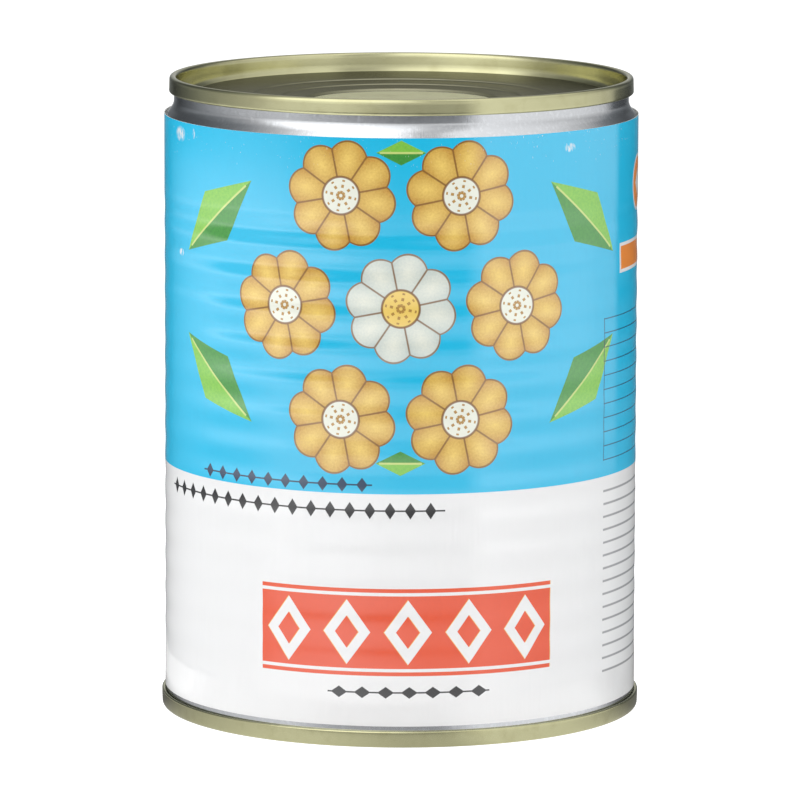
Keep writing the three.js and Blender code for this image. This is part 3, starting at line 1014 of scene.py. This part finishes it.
def soft_light(name, turn, distance, height, width, tall, brightness):
    """A rectangular light at an angle round the can, aimed at the can's middle; lengths in metres."""
    place = Vector((distance * math.sin(turn), -distance * math.cos(turn), height))
    data = bpy.data.lights.new(name, "AREA")
    data.shape = "RECTANGLE"
    data.size, data.size_y, data.energy = width, tall, brightness * math.pi * width * tall
    made = bpy.data.objects.new(name, data)
    bpy.context.scene.collection.objects.link(made)
    aim = (Vector((0, 0, 0.06)) - place).to_track_quat("-Z", "Y")
    made.matrix_world = Matrix.Translation(place) @ aim.to_matrix().to_4x4()
    made.visible_glossy = False


def stage_sheet(name, points, faces, colour, glow, camera=False, diffuse=False, glossy=False):
    """A sheet that isn't part of the object, seen only by the kinds of ray that are named.

    colour is its paint, and glow is the light that it gives off at each point, or one number for all.
    """
    mesh = bpy.data.meshes.new(name)
    mesh.from_pydata(points, [], faces)
    levels = mesh.attributes.new("glow", "FLOAT", "POINT")
    levels.data.foreach_set("value", np.broadcast_to(glow, len(points)).astype(np.float32))
    made = bpy.data.objects.new(name, mesh)
    bpy.context.scene.collection.objects.link(made)
    finish, tree, shader = material(name, Base_Color=(*colour, 1), Roughness=1.0, Specular_IOR_Level=0.0)
    shader.inputs["Emission Color"].default_value = (1, 1, 1, 1)
    level = node_of(tree, "ShaderNodeAttribute", attribute_name="glow").outputs["Fac"]
    feed(level, shader.inputs["Emission Strength"])
    mesh.materials.append(finish)
    made.visible_camera, made.visible_diffuse, made.visible_glossy = camera, diffuse, glossy
    made.visible_transmission = made.visible_shadow = False
    return finish


# What the metal mirrors: at each turn from the front, the light's level at each of the rises above the table,
# all in degrees. A tall white card stands at the right, a large softbox hangs in front and to the left, and
# black flags stand behind.
SURROUND_RADIUS = 0.8
RISES = (0, 0.7, 1.3, 3, 5.5, 12, 20, 45, 60, 75, 90)
LEVELS = {
    -180: (1.0, 1.0, 1.0, 1.0, 0.9, 0.5, 0.5, 0.5, 0.7, 1.0, 1.2),
    -165: (0.1, 0.1, 0.15, 0.15, 0.15, 0.15, 0.3, 0.4, 0.6, 0.9, 1.2),
    -150: (0.05, 0.05, 0.03, 0.03, 0.04, 0.06, 0.06, 0.08, 0.5, 0.8, 1.2),
    -130: (0.45, 0.4, 0.09, 0.1, 0.18, 0.2, 0.1, 0.1, 0.4, 0.8, 1.2),
    -100: (1.1, 1.0, 0.31, 0.35, 0.37, 0.4, 0.25, 0.25, 0.5, 0.9, 1.2),
    -78: (1.35, 1.2, 0.46, 0.5, 0.56, 0.65, 0.5, 0.6, 0.9, 1.2, 1.2),
    -60: (1.3, 1.15, 0.44, 0.46, 1.1, 1.3, 1.8, 1.8, 1.8, 1.7, 1.2),
    -30: (0.8, 0.5, 0.03, 0.04, 1.35, 1.4, 1.8, 1.9, 1.9, 1.8, 1.2),
    0: (0.35, 0.12, 0.02, 0.02, 0.66, 0.88, 1.3, 1.6, 1.7, 1.5, 1.2),
    14: (0.3, 0.14, 0.05, 0.06, 0.62, 0.82, 0.7, 0.8, 0.7, 0.6, 1.2),
    30: (0.35, 0.2, 0.1, 0.12, 0.66, 0.95, 0.6, 0.7, 0.7, 0.6, 1.2),
    40: (1.12, 1.12, 1.12, 1.12, 1.12, 1.15, 1.15, 1.2, 1.25, 1.25, 1.2),
    100: (0.98, 0.98, 0.98, 0.98, 0.86, 0.78, 0.65, 0.95, 1.1, 1.2, 1.2),
    124: (0.7, 0.7, 0.7, 0.7, 0.6, 0.45, 0.32, 0.55, 0.85, 1.1, 1.2),
    130: (0.05, 0.05, 0.1, 0.12, 0.34, 0.2, 0.16, 0.3, 0.7, 0.9, 1.2),
    150: (0.02, 0.02, 0.04, 0.04, 0.14, 0.06, 0.06, 0.1, 0.5, 0.8, 1.2),
    165: (0.1, 0.1, 0.15, 0.15, 0.15, 0.12, 0.3, 0.4, 0.6, 0.9, 1.2),
    180: (1.0, 1.0, 1.0, 1.0, 0.9, 0.5, 0.5, 0.5, 0.7, 1.0, 1.2),
}

# The table's own light by turn: near the can what the bottom seam and the strip above it mirror, then the
# middle and the far table.
FOOT_TURNS = (-180, -105, -92, -76, -60, -35, -22, 0, 13, 25, 50, 64, 76, 86, 96, 180)
FOOT_SEAM = (0.1, 0.12, 0.15, 0.45, 0.65, 0.9, 0.9, 0.65, 0.65, 0.95, 0.9, 0.7, 0.4, 0.2, 0.15, 0.1)
FOOT_STRIP = (0.1, 0.7, 1.0, 0.6, 0.75, 0.85, 0.5, 0.4, 0.4, 1.0, 1.1, 1.15, 1.1, 0.5, 0.12, 0.1)
TABLE_TURNS = (-180, -160, -145, -130, -100, -60, -30, 0, 30, 60, 90, 110, 122, 134, 160, 180)
TABLE_MID = (0.02, 0.02, 0.04, 0.08, 0.1, 0.12, 0.18, 0.33, 0.18, 0.0, 0.0, 0.0, 0.0, 0.0, 0.0, 0.02)
TABLE_FAR = (0.02, 0.02, 0.06, 0.3, 0.8, 0.95, 0.7, 0.45, 0.4, 0.4, 0.35, 0.1, 0.04, 0.0, 0.0, 0.02)
FOOT_REACH = (0.03, 0.053, 0.06, 0.085)  # the rings' distances from the can's axis, in metres
TABLE_REACH = (0.085, 0.28, 0.5, 1.0, 8.0)
STAGE_TURNS = np.linspace(-180, 180, 145)
STAGE_DROP = 0.0005  # how far the mirrored and the lighting tables lie below the can's foot
BLACK = (0.02, 0.02, 0.02)
GLOSS_GREY = (0.75, 0.76, 0.78)
FLOOR_GREY = (0.6, 0.6, 0.6)


def table_ring(name, reach, turns, levels, colour):
    """Rings of the table round the can, for mirror rays only, with a light of their own by turn."""
    glow = np.array([np.interp(STAGE_TURNS, turns, row) for row in levels])
    turn, far = np.meshgrid(np.radians(STAGE_TURNS), reach)
    points = np.stack([far * np.sin(turn), -far * np.cos(turn), 0 * turn - STAGE_DROP], axis=-1)
    faces = grid_faces(len(reach), len(STAGE_TURNS)).tolist()
    return stage_sheet(name, points.reshape(-1, 3).tolist(), faces, colour, glow.ravel(), glossy=True)


def table_top():
    """A lit table at the can's foot, and a glossy one further out."""
    seam, strip, mid, far = FOOT_SEAM, FOOT_STRIP, TABLE_MID, TABLE_FAR
    table_ring("table_foot", FOOT_REACH, FOOT_TURNS, (seam, seam, strip, strip), BLACK)
    finish = table_ring("table_top", TABLE_REACH, TABLE_TURNS, (mid, mid, far, far, far), GLOSS_GREY)
    shader = finish.node_tree.nodes["Principled BSDF"]
    shader.inputs["Metallic"].default_value = 1.0
    shader.inputs["Roughness"].default_value = 0.12


def surround():
    """A dome that only mirror rays see, whose levels follow the plan above and whose dim parts are bluish."""
    rises = np.concatenate([np.arange(0, 3, 0.35), np.arange(3, 30), np.arange(30, 91, 3)])
    columns = np.array([np.interp(rises, RISES, levels) for levels in LEVELS.values()])
    glow = np.array([np.interp(STAGE_TURNS, list(LEVELS), row) for row in columns.T])
    turn, rise = np.meshgrid(np.radians(STAGE_TURNS), np.radians(rises))
    points = np.stack([np.cos(rise) * np.sin(turn), -np.cos(rise) * np.cos(turn), np.sin(rise)], axis=-1)
    faces = grid_faces(len(rises), len(STAGE_TURNS)).tolist()
    points = (points * SURROUND_RADIUS).reshape(-1, 3).tolist()
    finish = stage_sheet("surround", points, faces, BLACK, glow.ravel(), glossy=True)
    tree = finish.node_tree
    level = Field(node_of(tree, "ShaderNodeAttribute", attribute_name="glow").outputs["Fac"])
    tint = mixed(level.within(0.1, 2.5, 0.8), (0.82, 0.97, 1.1, 1), (1, 1, 1, 1))
    feed(tint, tree.nodes["Principled BSDF"].inputs["Emission Color"])


def studio():
    """A pale floor, soft lights in front and overhead, a glossy table and the surround that metal mirrors."""
    far = TABLE_REACH[-1]
    square = [(-far, -far, 0), (far, -far, 0), (far, far, 0), (-far, far, 0)]
    stage_sheet("floor", square, [range(4)], FLOOR_GREY, 0.9, camera=True)
    below = [(x, y, -STAGE_DROP) for x, y, _ in square]
    stage_sheet("table", below, [range(4)], FLOOR_GREY, 0.3, diffuse=True)
    table_top()
    surround()
    world = bpy.data.worlds.new("studio")
    world.use_nodes = True
    background = world.node_tree.nodes["Background"]
    background.inputs["Color"].default_value = (0.95, 0.97, 1, 1)
    background.inputs["Strength"].default_value = 0.2
    bpy.context.scene.world = world
    soft_light("key", math.radians(-28), 1.15, 0.62, 1.75, 1.2, 1.13)
    soft_light("fill", math.radians(80), 1.0, 0.5, 1.2, 1.2, 1.28)
    soft_light("rim", math.radians(-105), 0.9, 0.4, 0.8, 1.0, 2.1)
    soft_light("top", math.radians(0), 0.3, 1.25, 1.3, 1.1, 1.8)


camera()
dress()
studio()
bpy.context.scene.view_settings.view_transform = "Standard"
